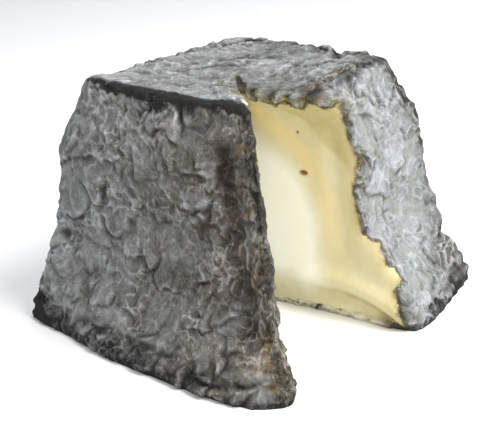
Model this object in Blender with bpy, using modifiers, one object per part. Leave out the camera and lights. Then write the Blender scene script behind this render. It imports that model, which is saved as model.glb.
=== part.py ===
"""Ash-rinded goat cheese: a truncated four-sided pyramid with one eighth cut out of it.

Lengths are millimetres until the mesh is finished, which is in metres.
Row frame: +Z up, the flat foot on Z = 0, the four flanks facing -Y, +X, +Y and -X.
The missing eighth lies between the middle of the +X flank and the +X -Y corner.
"""

import math

import bpy
import numpy as np
from mathutils import Vector, noise

MM = 0.001
NODE = "cheese"

# Driving sizes of the whole cheese, before it was cut.
FOOT_SIDE, TOP_SIDE, HEIGHT = 74.0, 46.9, 55.6
EDGE_ROUND, FOOT_PRESS = 1.4, 0.85
# Each corner stands a little off the true pyramid, as a soft cheese does: (x, y), and upwards at the top.
FOOT_LEAN = {(-1, -1): (-1.9, -0.6), (1, -1): (1.2, 0.6), (1, 1): (0.8, -0.6), (-1, 1): (0.6, 0.8)}
TOP_LEAN = {(-1, -1): (-1.2, -0.2), (1, -1): (0.2, -0.9), (1, 1): (0.2, -0.2), (-1, 1): (1.1, 2.3)}
TOP_RISE = {(-1, -1): 0.3, (1, -1): 0.0, (1, 1): 0.0, (-1, 1): 0.7}

# Slump: the flanks belly out under the shoulder, draw in at the waist and spread at the foot.
SHOULDER_AT, SHOULDER_OUT, SHOULDER_SPAN = 0.78, 1.3, 0.16
WAIST_AT, WAIST_IN, WAIST_SPAN = 0.34, 2.0, 0.19
FOOT_BOW, FRONT_BOW, FOOT_REACH, FOOT_EASE = 5.6, 6.4, 0.32, 1.3
CORNER_WAIST = 0.5
# The +X flank swells where the cut meets it: (out, share of the height, span, place across, span across).
SWELL_OUT, SWELL_AT, SWELL_SPAN, SWELL_ACROSS, SWELL_SPAN_ACROSS = 3.0, 0.22, 0.16, 0.05, 0.35
TOP_SAG = 1.3

# The knife's two cuts, seen from above. The second one leans a little, so its line shifts at the top.
CUT_AXIS = np.array([0.0, -0.3])
FAR_CUT_ANGLE, NEAR_CUT_ANGLE = math.radians(5.1), math.radians(-42.5)
NEAR_CUT_SHIFT_AT_TOP = -2.3
CUTTER_REACH, CUTTER_OVERHANG = 75.0, 12.0

# The top rind droops over the far cut like a lip with hanging folds, deepest near its middle.
LIP_OUT, LIP_DROP, LIP_CENTRE, LIP_SPAN, LIP_DEPTH_OF_PULL = 5.5, 2.0, 14.0, 12.5, 11.0
LIP_FROM, LIP_TO = 0.80, 0.97
LIP_FOLD_PITCH, LIP_FOLD_HEIGHT = 4.4, 0.9

# The paste of the near cut swells into the notch at its outer foot.
TOE_OUT, TOE_HIGH, TOE_FROM, TOE_TO = 1.4, 13.0, 18.0, 34.0

# Relief of the rind: lobes that overlap like shingles, flowing terraces, pleats round the foot, slow waves.
# A lean points away from a lobe's thick side.
LOBE_SIZE, LOBE_HEIGHT = 8.0, 1.25
LEAN_DOWN, LEAN_TOP = np.array([-0.3, 0.1, 1.0]), np.array([-0.6, 0.7, 0.0])
TERRACE_HEIGHT, TERRACE_RUN = 0.30, np.array([0.05, 0.03, -0.10])
PLEAT_PITCH, PLEAT_HEIGHT = 3.4, 0.7
WAVE_SIZE, WAVE_HEIGHT = 17.0, 0.8
RIND_MEAN = 0.6  # the relief's mean, which the smooth form already holds
PASTE_SKIN = 0.9  # how far from a knife's plane a point still counts as cut paste
RIND_ROLL = 2.2  # width of the rind that curls over a cut's rim

# Single folds that the cheese took as it sagged: (start, end, depth, half width).
FOLDS = [
    ((9.0, 24.5, 55.0), (14.0, 16.5, 55.2), 1.0, 1.2),  # across the top's back edge
    ((17.5, -26.8, 46.0), (27.0, -34.0, 11.0), 1.7, 2.8),  # down the front flank beside the cut
    ((21.5, 11.0, 54.8), (21.0, 5.0, 54.5), 0.9, 0.7),  # where the lip tears away from the +X flank
    ((21.0, 5.0, 54.5), (20.2, 0.6, 53.0), 1.1, 0.8),
    ((20.2, 0.6, 53.0), (18.6, -1.5, 51.2), 1.5, 1.2),  # a pocket in the lip
    ((-34.0, -26.0, 21.5), (-26.0, -34.0, 21.0), 2.0, 1.6),  # at the left corner's waist
    ((36.0, 26.0, 14.0), (33.0, 35.0, 13.3), 2.2, 1.8),  # at the right corner's waist
    ((-20.0, -39.0, 5.0), (22.0, -41.0, 6.0), 0.9, 1.3),  # along the front of the foot
]

FLAT_FOOT, FOOT_LEVEL = 0.9, 0.08

# Grids, from coarse to fine, and how much of the last one stays.
SLUMP_GRID, SKIN_GRID = 1.5, 1.0
TRIANGLES = 11_400


# ---------------------------------------------------------------- small maths


def lerp(a, b, share):
    return a + (b - a) * share


def smooth(low, high, value):
    """0 below low, 1 above high, eased in between."""
    share = np.clip((value - low) / (high - low), 0, 1)
    return share * share * (3 - 2 * share)


def bump(value, centre, span):
    return np.exp(-(((value - centre) / span) ** 2))


def lumps(points, size, seed=0.0):
    """Smooth noise, about -1 to 1, with lumps about size across."""
    return np.array([noise.noise(p) for p in (points / size + seed).tolist()])


def drift(points, size, seed=0.0):
    """Three smooth noises at each point, to push it about by."""
    return np.stack([lumps(points, size, seed + 7.3 * axis) for axis in range(3)], axis=1)


def cells(points, size, seed=0.0):
    """Cells about size across: how near each point is to a wall, and where it is from its cell's centre."""
    walls, offsets = [], []
    for place in (points / size + seed).tolist():
        distances, centres = noise.voronoi(place)
        walls.append(distances[1] - distances[0])
        offsets.append(tuple(Vector(place) - centres[0]))
    return np.array(walls), np.array(offsets)


def terraces(phase, fall):
    """Rises slowly from 0 to 1 along each turn of phase, and drops over its last share."""
    part = phase - np.floor(phase)
    return np.minimum(part / (1 - fall), (1 - part) / fall)


# ---------------------------------------------------------------- objects and meshes


def clear_scene():
    for obj in list(bpy.data.objects):
        bpy.data.objects.remove(obj, do_unlink=True)


def new_collection(name):
    collection = bpy.data.collections.new(name)
    bpy.context.scene.collection.children.link(collection)
    return collection


def move_to(obj, collection):
    for owner in list(obj.users_collection):
        owner.objects.unlink(obj)
    collection.objects.link(obj)


def add_modifier(obj, name, kind, **settings):
    modifier = obj.modifiers.new(name, kind)
    for setting, value in settings.items():
        setattr(modifier, setting, value)


def applied(obj, name):
    """A new object with obj's evaluated mesh, in the same collection. obj is removed."""
    graph = bpy.context.evaluated_depsgraph_get()
    mesh = bpy.data.meshes.new_from_object(obj.evaluated_get(graph))
    collection = obj.users_collection[0]
    bpy.data.objects.remove(obj, do_unlink=True)
    made = bpy.data.objects.new(name, mesh)
    collection.objects.link(made)
    return made


def points_of(mesh):
    co = np.empty(len(mesh.vertices) * 3)
    mesh.vertices.foreach_get("co", co)
    return co.reshape(-1, 3)


def normals_of(mesh):
    normals = np.empty(len(mesh.vertices) * 3)
    mesh.vertices.foreach_get("normal", normals)
    return normals.reshape(-1, 3)


def move_points(mesh, points):
    mesh.vertices.foreach_set("co", points.ravel())
    mesh.update()


def cube_with_corners(name, corner_of, collection):
    """A primitive cube whose eight corners are put where corner_of(x, y, z) says, for signs -1 and 1."""
    bpy.ops.mesh.primitive_cube_add(size=2)
    obj = bpy.context.object
    obj.name = name
    for vertex in obj.data.vertices:
        vertex.co = corner_of(*(int(math.copysign(1, c)) for c in vertex.co))
    move_to(obj, collection)
    return obj


# ---------------------------------------------------------------- the smooth form


def pyramid_corner(x, y, z):
    half, lean = (TOP_SIDE / 2, TOP_LEAN) if z > 0 else (FOOT_SIDE / 2, FOOT_LEAN)
    dx, dy = lean[(x, y)]
    return x * half + dx, y * half + dy, HEIGHT + TOP_RISE[(x, y)] if z > 0 else 0.0


def cutter_corner(x, y, z):
    """The wedge between the two cuts: -X -Y is the knife's axis, +X +Y the far outer corner."""
    shift = NEAR_CUT_SHIFT_AT_TOP if z > 0 else 0.0
    # The near cut's line, moved by shift along Y, meets the far one here.
    back = shift / (math.tan(FAR_CUT_ANGLE) - math.tan(NEAR_CUT_ANGLE))
    axis = CUT_AXIS + (back, back * math.tan(FAR_CUT_ANGLE))
    far = np.array([math.cos(FAR_CUT_ANGLE), math.sin(FAR_CUT_ANGLE)]) * CUTTER_REACH
    near = np.array([math.cos(NEAR_CUT_ANGLE), math.sin(NEAR_CUT_ANGLE)]) * CUTTER_REACH
    plan = {(-1, -1): axis, (1, 1): axis + far + near, (-1, 1): axis + far, (1, -1): axis + near}[(x, y)]
    return plan[0], plan[1], HEIGHT + CUTTER_OVERHANG if z > 0 else -CUTTER_OVERHANG


def side_position(points):
    """(u across X, u across Y, share of the height): -1 and 1 are the flanks."""
    share = np.clip(points[:, 2] / HEIGHT, 0, 1)
    half = lerp(FOOT_SIDE, TOP_SIDE, share) / 2
    return points[:, 0] / half, points[:, 1] / half, share


def slump_of_flanks(points):
    """How far the flanks stand out from the straight pyramid, at each point: along X, and along Y."""
    ux, uy, share = side_position(points)
    corner = np.minimum(ux * uy, 1.0) ** 2
    belly = SHOULDER_OUT * bump(share, SHOULDER_AT, SHOULDER_SPAN)
    belly += lerp(-WAIST_IN, -CORNER_WAIST, corner) * bump(share, WAIST_AT, WAIST_SPAN)
    low = np.maximum(0, 1 - share / FOOT_REACH) ** FOOT_EASE
    bow_x = FOOT_BOW * low * np.maximum(0, 1 - uy * uy) ** 1.2
    swell = SWELL_OUT * bump(share, SWELL_AT, SWELL_SPAN) * bump(uy, SWELL_ACROSS, SWELL_SPAN_ACROSS)
    bow_x += np.where(ux > 0, swell, 0)
    even = FOOT_BOW * np.maximum(0, 1 - ux * ux) ** 1.2
    lopsided = FRONT_BOW * smooth(-1.25, 0.2, ux) * np.maximum(0, 1 - ux**8)
    bow_y = low * np.where(uy < 0, lopsided, even)
    return belly + bow_x, belly + bow_y


def slumped(points):
    """Where the straight pyramid's points go as the cheese sags and its foot is pressed square."""
    ux, uy, share = side_position(points)
    out_x, out_y = slump_of_flanks(points)
    rounding = EDGE_ROUND - np.clip(points[:, 2], 0, EDGE_ROUND)
    press = FOOT_PRESS * (EDGE_ROUND - np.sqrt(EDGE_ROUND**2 - rounding**2))
    dish = TOP_SAG * smooth(0.7, 1.0, share) * np.maximum(0, 1 - ux * ux) * np.maximum(0, 1 - uy * uy)
    return points + np.stack([ux * (out_x + press), uy * (out_y + press), -dish], axis=1)


def behind_far_cut(points):
    """Distance behind the far cut's plane: 0 on it, positive inside the cheese."""
    x, y = points[:, 0] - CUT_AXIS[0], points[:, 1] - CUT_AXIS[1]
    return y * math.cos(FAR_CUT_ANGLE) - x * math.sin(FAR_CUT_ANGLE)


def behind_near_cut(points):
    """The same for the near cut, whose plane leans with height."""
    x = points[:, 0] - CUT_AXIS[0]
    y = points[:, 1] - CUT_AXIS[1] - NEAR_CUT_SHIFT_AT_TOP * points[:, 2] / HEIGHT
    return x * math.sin(NEAR_CUT_ANGLE) - y * math.cos(NEAR_CUT_ANGLE)


def drooped(points):
    """Pulls the top of the far cut outwards and down, as the lip hangs."""
    depth = behind_far_cut(points)
    side = bump(points[:, 0], LIP_CENTRE, LIP_SPAN) * smooth(-1.5, 3.0, points[:, 0])
    high = smooth(LIP_FROM, LIP_TO, points[:, 2] / HEIGHT)
    pull = side * high * (1 - smooth(0.0, LIP_DEPTH_OF_PULL, depth)) * (depth > -1.5)
    return points + pull[:, None] * (0, -LIP_OUT, -LIP_DROP)


def swollen_toe(points):
    """Pushes the outer foot of the near cut into the notch."""
    away = np.abs(behind_near_cut(points))
    low = 1 - smooth(0.25 * TOE_HIGH, TOE_HIGH, points[:, 2])
    push = TOE_OUT * low * smooth(TOE_FROM, TOE_TO, points[:, 0]) * (1 - smooth(0.0, 6.0, away))
    push *= points[:, 1] < -0.5 * points[:, 0]
    return points + push[:, None] * (-math.sin(NEAR_CUT_ANGLE), math.cos(NEAR_CUT_ANGLE), 0.0)


def cheese_form(parts, cutters):
    """The slumped pyramid with one eighth cut out, on an even grid."""
    block = cube_with_corners("block", pyramid_corner, parts)
    add_modifier(block, "rounded edges", "BEVEL", width=EDGE_ROUND, segments=3)
    add_modifier(block, "grid", "REMESH", mode="VOXEL", voxel_size=SLUMP_GRID)
    slump = applied(block, "slump")
    move_points(slump.data, slumped(points_of(slump.data)))

    wedge = cube_with_corners("wedge", cutter_corner, cutters)
    wedge.hide_render = True
    wedge.display_type = "WIRE"
    add_modifier(slump, "cut eighth", "BOOLEAN", operation="DIFFERENCE", object=wedge)
    add_modifier(slump, "even skin", "REMESH", mode="VOXEL", voxel_size=SKIN_GRID)
    form = applied(slump, "form")
    bpy.data.objects.remove(wedge, do_unlink=True)
    return form


# ---------------------------------------------------------------- relief


def paste_share(points):
    """1 where a knife has bared the paste, 0 on the rind, taken before the lip droops."""
    far, near = np.abs(behind_far_cut(points)), np.abs(behind_near_cut(points))
    ux, uy, share = side_position(points)
    rim = np.minimum((1 - share) * HEIGHT, (1 - ux) * FOOT_SIDE / 2)
    rim = np.where(near < far, np.minimum(rim, (1 + uy) * FOOT_SIDE / 2), rim)
    bared = 1 - smooth(0.5 * PASTE_SKIN, PASTE_SKIN, np.minimum(far, near))
    return bared * smooth(0.3 * RIND_ROLL, RIND_ROLL, rim) * (points[:, 0] > -1.5)


def fold_relief(points):
    """Depth of the single folds, as a negative height."""
    height = np.zeros(len(points))
    wobble = 0.8 * lumps(points, 5.0, 1.3)
    for start, end, depth, half_width in FOLDS:
        a, b = np.array(start), np.array(end)
        along = np.clip((points - a) @ (b - a) / ((b - a) @ (b - a)), 0, 1)
        away = np.linalg.norm(points - (a + along[:, None] * (b - a)), axis=1)
        height -= depth * bump(away + wobble, 0, half_width)
    return height


def lip_folds(points):
    """Height of the lip's hanging folds over the far cut."""
    hanging = bump(behind_far_cut(points), 0, 3.0) * smooth(2.0, 6.0, points[:, 0])
    hanging *= smooth(46, 49.5, points[:, 2]) * (1 - smooth(53.0, 56.0, points[:, 2]))
    wave = np.cos(2 * math.pi * (points[:, 0] + 1.2 * lumps(points, 4.0, 2.9)) / LIP_FOLD_PITCH)
    return LIP_FOLD_HEIGHT * 0.5 * hanging * wave


def rind_relief(points, normals):
    """Height of the rind over the smooth form."""
    warp = 2.6 * drift(points, 9.0, 2.2) + 1.7 * drift(points, 4.0, 5.5)
    flat = np.abs(normals[:, 2:])
    held = smooth(-0.35, 0.3, lumps(points, 9.0, 4.4))
    wall, offset = cells((points + warp) * (1, 1, 0.85), LOBE_SIZE)
    lift = np.clip(0.55 - (offset * lerp(LEAN_DOWN, LEAN_TOP, flat)).sum(1), 0, 1.4)
    height = LOBE_HEIGHT * lift * smooth(0.0, 0.26, wall) * (0.35 + 0.65 * held)

    flow = 2.2 * lumps(points + warp, 11.0, 1.7) + points @ TERRACE_RUN
    height += TERRACE_HEIGHT * terraces(flow, 0.12) * (1 - 0.6 * held)
    pleats = terraces((points[:, 2] + 2.0 * lumps(points, 12.0, 5.2)) / PLEAT_PITCH, 0.3)
    height += PLEAT_HEIGHT * pleats * (1 - smooth(3.0, 13.0, points[:, 2])) * np.maximum(0, 1 - normals[:, 0])
    return height + WAVE_HEIGHT * lumps(points, WAVE_SIZE, 0.2) - RIND_MEAN


def paste_relief(points, on_far):
    """The knife's soft waves, and on the far cut an upright groove and a bulge that curls along the foot."""
    x, z = points[:, 0], points[:, 2]
    upright = smooth(12, 20, z) * (1 - smooth(38, 46, z))
    groove_at = 24.5 - 0.09 * (z - 30)
    bulge_at = 9.6 - 0.018 * (x - 21) ** 2
    height = 0.5 * bump(x, groove_at - 4.0, 3.0) * upright - 0.9 * bump(x, groove_at, 2.0) * upright
    height += 1.9 * bump(z, bulge_at, 2.3) * smooth(8, 18, x)
    height -= 1.5 * bump(z, bulge_at - 4.4, 1.4) * smooth(15, 22, x)
    return on_far * height + 0.25 * lumps(points, 11.0, 6.6)


def sculpt(cheese):
    """Droops the lip and raises the relief, then sets the foot flat."""
    mesh = cheese.data
    base = points_of(mesh)
    bared = paste_share(base)
    on_far = smooth(-1.0, 1.0, np.abs(behind_near_cut(base)) - np.abs(behind_far_cut(base)))
    folds = lip_folds(base)
    move_points(mesh, swollen_toe(drooped(base)))
    points, normals = points_of(mesh), normals_of(mesh)
    rind = rind_relief(points, normals) + fold_relief(points) + folds
    height = lerp(rind, paste_relief(points, on_far), bared) * smooth(0.0, FLAT_FOOT, points[:, 2])
    moved = points + normals * height[:, None]
    under = (moved[:, 2] < FLAT_FOOT) & (normals[:, 2] < -0.5)
    moved[under, 2] = 0.0
    moved[:, 2] = np.maximum(moved[:, 2], 0.0)
    move_points(mesh, moved)


def thinned(cheese):
    full = sum(len(p.vertices) - 2 for p in cheese.data.polygons)
    add_modifier(cheese, "fewer triangles", "DECIMATE", ratio=TRIANGLES / full)
    return applied(cheese, NODE)


def set_down(cheese):
    """Centres the cheese over the origin with its foot exactly flat on Z = 0, and turns it into metres."""
    points = points_of(cheese.data)
    points[:, :2] -= (points.min(0) + points.max(0))[:2] / 2
    points[points[:, 2] < FOOT_LEVEL, 2] = 0.0
    move_points(cheese.data, points * MM)


def ash_rind():
    material = bpy.data.materials.new("ash rind")
    material.use_nodes = True
    shader = material.node_tree.nodes["Principled BSDF"]
    shader.inputs["Base Color"].default_value = (0.26, 0.26, 0.25, 1)
    shader.inputs["Roughness"].default_value = 0.9
    return material


def main():
    clear_scene()
    parts = new_collection("goat cheese")
    cutters = new_collection("cutters")
    form = cheese_form(parts, cutters)
    sculpt(form)
    cheese = thinned(form)
    set_down(cheese)
    cheese.data.materials.clear()
    cheese.data.materials.append(ash_rind())
    cheese.data.shade_smooth()


main()
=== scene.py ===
"""A ripe, ash-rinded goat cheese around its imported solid: wrinkled rind, and smooth paste where it is cut.

The form is built from the same driving sizes as the solid, then gets its creases, veins and grain.
Lengths are millimetres in the row's frame (+Z up, foot on Z = 0) until the mesh is finished.
"""

import math

import bpy
import numpy as np
from mathutils import Matrix, Vector, noise

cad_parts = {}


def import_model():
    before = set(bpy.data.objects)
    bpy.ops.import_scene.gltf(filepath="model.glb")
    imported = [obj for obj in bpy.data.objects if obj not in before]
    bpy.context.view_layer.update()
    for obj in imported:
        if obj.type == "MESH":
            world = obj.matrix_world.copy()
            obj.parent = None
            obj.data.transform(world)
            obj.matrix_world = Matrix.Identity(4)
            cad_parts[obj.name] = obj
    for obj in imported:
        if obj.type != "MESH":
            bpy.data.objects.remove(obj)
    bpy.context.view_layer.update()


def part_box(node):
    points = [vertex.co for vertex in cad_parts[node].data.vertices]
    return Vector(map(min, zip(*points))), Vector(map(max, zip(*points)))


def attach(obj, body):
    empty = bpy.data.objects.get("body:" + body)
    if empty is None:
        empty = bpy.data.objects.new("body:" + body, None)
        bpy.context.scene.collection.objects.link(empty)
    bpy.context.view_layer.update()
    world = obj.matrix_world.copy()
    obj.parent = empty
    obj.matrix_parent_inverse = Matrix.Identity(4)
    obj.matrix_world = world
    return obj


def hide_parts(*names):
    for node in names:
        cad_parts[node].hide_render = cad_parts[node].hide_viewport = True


MM = 0.001
NODE = "cheese"

# Driving sizes of the solid.
FOOT_SIDE, TOP_SIDE, HEIGHT = 74.0, 46.9, 55.6
EDGE_ROUND, FOOT_PRESS = 1.4, 0.85
FOOT_LEAN = {(-1, -1): (-1.9, -0.6), (1, -1): (1.2, 0.6), (1, 1): (0.8, -0.6), (-1, 1): (0.6, 0.8)}
TOP_LEAN = {(-1, -1): (-1.2, -0.2), (1, -1): (0.2, -0.9), (1, 1): (0.2, -0.2), (-1, 1): (1.1, 2.3)}
TOP_RISE = {(-1, -1): 0.3, (1, -1): 0.0, (1, 1): 0.0, (-1, 1): 0.7}
SHOULDER_AT, SHOULDER_OUT, SHOULDER_SPAN = 0.78, 1.3, 0.16
WAIST_AT, WAIST_IN, WAIST_SPAN = 0.34, 2.0, 0.19
FOOT_BOW, FRONT_BOW, FOOT_REACH, FOOT_EASE = 5.6, 6.4, 0.32, 1.3
CORNER_WAIST = 0.5
# The +X flank swells where the cut meets it: (out, share of the height, span, place across, span across).
SWELL_OUT, SWELL_AT, SWELL_SPAN, SWELL_ACROSS, SWELL_SPAN_ACROSS = 3.0, 0.22, 0.16, 0.05, 0.35
TOP_SAG = 1.3

# The two cuts.
CUT_AXIS = np.array([0.0, -0.3])
FAR_CUT_ANGLE, NEAR_CUT_ANGLE = math.radians(5.1), math.radians(-42.5)
NEAR_CUT_SHIFT_AT_TOP = -2.3
CUTTER_REACH, CUTTER_OVERHANG = 75.0, 12.0

# The lip of top rind that hangs over the far cut.
LIP_OUT, LIP_DROP, LIP_CENTRE, LIP_SPAN, LIP_DEPTH_OF_PULL = 5.5, 2.0, 14.0, 12.5, 11.0
LIP_FROM, LIP_TO = 0.80, 0.97
LIP_FOLD_PITCH, LIP_FOLD_HEIGHT = 4.4, 0.9
# The heights over which the lip's hanging folds begin, and over which they end.
LIP_FOLDS_BEGIN, LIP_FOLDS_END = (46.0, 49.5), (53.0, 56.0)

# The paste of the near cut swells into the notch at its outer foot.
TOE_OUT, TOE_HIGH, TOE_FROM, TOE_TO = 1.4, 13.0, 18.0, 34.0

# Where the rind ends. Under the lip it is scalloped: the hem's height, and the scallops' depth, pitch and
# one crest's X.
LIP_HEM_AT, LIP_SCALLOP, LIP_SCALLOP_PITCH, LIP_SCALLOP_CREST = 50.2, 0.9, 6.2, 8.2
# At the side of the far cut it ends in steps, each given by its height and X.
SIDE_HEM = [(0.4, 40.4), (4.0, 38.6), (8.3, 37.2), (13.3, 38.4), (13.9, 35.0), (18.7, 32.7), (20.9, 29.6),
            (30.9, 27.6), (32.2, 28.3), (37.7, 28.2), (44.1, 26.4), (49.0, 25.2)]
TORN_BEHIND = 2.6  # how far behind the far cut the rind is torn off the +X flank
# Paste is bared only this near to a cut. Elsewhere it counts as this far inside the rind.
BY_CUT, DEEP_IN_RIND = 5.0, -9.0
# How far the rind reaches over the near cut's rim, how much farther at its toe, how far down from the top
# and up from the foot, and how proud of the paste its hem stands.
NEAR_HEM, NEAR_HEM_AT_TOE, NEAR_TOP_HEM, CRUST, RIND_PROUD = 2.0, 2.4, 1.6, 1.6, 0.45
# The pale crust along the far cut's foot: the heights and the X over which it fades out.
CRUST_TOP, CRUST_OUTER_END = (2.5, 5.0), (31.0, 37.0)

# How deep the paste looks on the far cut: at the foot, and per mm above it, inside the side's hem and under
# the lip's.
FOOT_DEPTH, ABOVE_FOOT, INSIDE_SIDE_HEM, UNDER_LIP_HEM = 3.0, 2.2, 1.75, 2.0
# Its pale core: the first depth, the sloping top (height at X = 0, fall per mm), and the gain per mm below.
CORE_DEPTH, CORE_TOP, CORE_FALL, CORE_DEEPENS = 15.0, 46.0, 0.73, 1.5
# The core's outer side: the depth at one X, that X, the loss per mm outside, and the least and most depth.
CORE_SIDE_DEPTH, CORE_SIDE_X, CORE_SIDE_FALL, CORE_SIDE_LEAST, CORE_SIDE_MOST = 24.0, 17.0, 2.0, 9.0, 30.0
# The paste's yellower band on the far cut, by height and X, and how far beside it a paler streak runs.
AMBER_BAND = [(8.0, 22.5), (16.0, 22.0), (23.0, 21.5), (28.0, 20.8), (33.0, 19.0), (38.0, 15.0), (43.5, 8.0),
              (48.0, 1.5)]
STREAK_BESIDE = 6.0
# In the trough by the foot the paste is coloured as if it were nearer to the rind, as painted shade under
# the
# bulge: by how much, how far under the bulge, half width and the X over which that begins.
TROUGH_SHADE_BY, TROUGH_SHADE_UNDER, TROUGH_SHADE_WIDE, TROUGH_SHADE_BEGINS = 9.0, 4.0, 1.2, (15.0, 21.0)

# The far cut's upright groove: its X at one height, how far it leans per mm, depth and half width, and the
# heights over which it begins and ends. Beside it the paste swells: how far off, height and half width.
GROOVE_X, GROOVE_Z, GROOVE_LEAN, GROOVE_DEPTH, GROOVE_WIDE = 24.5, 30.0, 0.09, 0.9, 2.0
GROOVE_BEGINS, GROOVE_ENDS = (12.0, 20.0), (38.0, 46.0)
BESIDE_GROOVE, BESIDE_HEIGHT, BESIDE_WIDE = 4.0, 0.5, 3.0
# The bulge that curls along the far cut's foot: its greatest height and the X there, how it curls down, how
# thick it is, its half width and the X over which it begins.
BULGE_Z, BULGE_X, BULGE_CURL, BULGE_THICK, BULGE_WIDE, BULGE_BEGINS = 9.6, 21.0, 0.018, 1.9, 2.3, (8.0, 18.0)
# The trough under it: how far under, depth, half width and the X over which it begins.
TROUGH_UNDER, TROUGH_DEPTH, TROUGH_WIDE, TROUGH_BEGINS = 4.4, 1.5, 1.4, (15.0, 22.0)
# Two gas holes in the far cut: (X, height, half width, half height, depth).
HOLES = [(15.4, 33.0, 1.15, 0.6, 0.9), (14.5, 42.2, 0.35, 0.4, 0.35)]

# Relief of the rind: lobes that overlap like shingles, flowing terraces, thin veins, worm-like wrinkles,
# pleats round the foot, slow waves and grain. WARP pushes them about: (how far, size, seed) for each noise.
WARP = [(2.6, 9.0, 2.2), (1.7, 4.0, 5.5), (0.5, 1.8, 1.9)]
LOBE_SIZE, LOBE_HEIGHT, SMALL_LOBE_SIZE, SMALL_LOBE_HEIGHT = 8.0, 1.25, 4.4, 0.6
# A lean points away from a lobe's thick side: on the flanks, of the small lobes there, and on the top.
LEAN_DOWN, LEAN_SMALL = np.array([-0.3, 0.1, 1.0]), np.array([0.4, 0.1, 0.8])
LEAN_TOP = np.array([-0.6, 0.7, 0.0])
TERRACE_HEIGHT, TERRACE_RUN = 0.30, np.array([0.05, 0.03, -0.10])
TERRACE_BEND, TERRACE_SIZE = 2.2, 11.0
VEIN_CELL, VEIN_HEIGHT, VEIN_WIDTH = 3.6, 0.28, 0.15
WORM_SIZE, WORM_HEIGHT, WORM_WIDTH = 3.4, 0.42, 0.16
PLEAT_PITCH, PLEAT_HEIGHT, PLEATS_END = 3.4, 0.7, (3.0, 13.0)
WAVE_SIZE, WAVE_HEIGHT = 17.0, 0.8
GRAIN_HEIGHT, GRAIN_SIZE, FINE_GRAIN_SIZE = 0.12, 1.5, 0.75
RIND_MEAN = 0.7  # the relief's mean, which the smooth form already holds
FLAT_FOOT = 0.9  # below this height the relief fades out, and what faces down is flat

# Single folds: (start, end, depth, half width).
FOLDS = [
    ((9.0, 24.5, 55.0), (14.0, 16.5, 55.2), 1.0, 1.2),  # across the top's back edge
    ((17.5, -26.8, 46.0), (27.0, -34.0, 11.0), 1.7, 2.8),  # down the front flank beside the cut
    ((21.5, 11.0, 54.8), (21.0, 5.0, 54.5), 0.9, 0.7),  # where the lip tears away from the +X flank
    ((21.0, 5.0, 54.5), (20.2, 0.6, 53.0), 1.1, 0.8),
    ((20.2, 0.6, 53.0), (18.6, -1.5, 51.2), 1.5, 1.2),  # a pocket in the lip
    ((-34.0, -26.0, 21.5), (-26.0, -34.0, 21.0), 2.0, 1.6),  # at the left corner's waist
    ((36.0, 26.0, 14.0), (33.0, 35.0, 13.3), 2.2, 1.8),  # at the right corner's waist
    ((-20.0, -39.0, 5.0), (22.0, -41.0, 6.0), 0.9, 1.3),  # along the front of the foot
]

# How pale the mould is on the flanks that face +X, +Y, +Z and -X, -Y, -Z.
PALE_OUT, PALE_BACK = np.array([0.98, 0.8, 0.41]), np.array([0.35, 0.08, 0.5])
# Single places: the foot's blackest corner, the ochre toe, a smear of bared paste and a stain on the near
# cut's top rim, the line where the lip tears, and a pocket in the lip, stained and darkened with painted
# shade.
LEFT_FOOT_CORNER, OCHRE_TOE = (-38.0, -36.0, 3.0), (34.0, -34.5, 7.0)
SMEAR, BROWNED = (18.9, -20.3, 55.1), (12.6, -15.2, 54.8)
SMEAR_RADIUS, SMEAR_PALE = 1.4, 0.65  # and how near to the core's colour the smear is
LIP_TEAR, LIP_POCKET = [(21.5, 12.0, 54.8), (21.0, 5.0, 54.5), (20.2, 0.6, 53.0)], (20.6, -0.8, 52.0)

# Grids, from coarse to fine, and how many triangles are left of the last one.
SLUMP_GRID, FORM_GRID, SKIN_GRID = 1.0, 0.9, 0.36
TRIANGLES = 196_000

# Rounding of the cut's rims: (radius of what is rounded, rounds of relaxing).
SOFT_RIM, SOFT_ROUNDS = 3.6, 26
CRISP_RIM, CRISP_ROUNDS = 1.5, 6

# Camera: where it stands and how it is turned, in the cheese's own frame, and its lens.
CAMERA_AT = Vector((154.349, -175.432, 110.243))
CAMERA_AZIMUTH, CAMERA_ELEVATION = math.radians(41.3416), math.radians(21.3419)
CAMERA_ROLL = math.radians(-4.2169)
PHOTO_WIDTH, FOCAL_PIXELS, SENSOR = 500, 1086.48, 36.0

# Colours, linear. The moulds run from the deepest hollow to the highest crest: the tone that picks from them
# holds painted shade in hollows and creases and painted light on crests.
DARK_MOULD = [
    (0.00, (0.014, 0.013, 0.011)),
    (0.30, (0.055, 0.052, 0.046)),
    (0.50, (0.105, 0.102, 0.093)),
    (0.70, (0.175, 0.173, 0.167)),
    (1.00, (0.360, 0.360, 0.358)),
]
PALE_MOULD = [
    (0.00, (0.100, 0.104, 0.097)),
    (0.30, (0.228, 0.240, 0.235)),
    (0.50, (0.312, 0.329, 0.345)),
    (0.70, (0.390, 0.411, 0.440)),
    (1.00, (0.515, 0.537, 0.576)),
]
# ASH_AND_SHADE is the black of bare ash, also laid as painted shade where the tone is dark and in the lip's
# pocket.
ASH_AND_SHADE, STAIN = (0.010, 0.010, 0.009), (0.215, 0.132, 0.046)
# HEM_AND_RIM_SHADE is the dark of the hem's spots and of the torn line, which is partly painted shade where
# the proud rind meets the paste.
MOSS, HEM_AND_RIM_SHADE = (0.330, 0.290, 0.120), (0.070, 0.058, 0.028)
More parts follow.
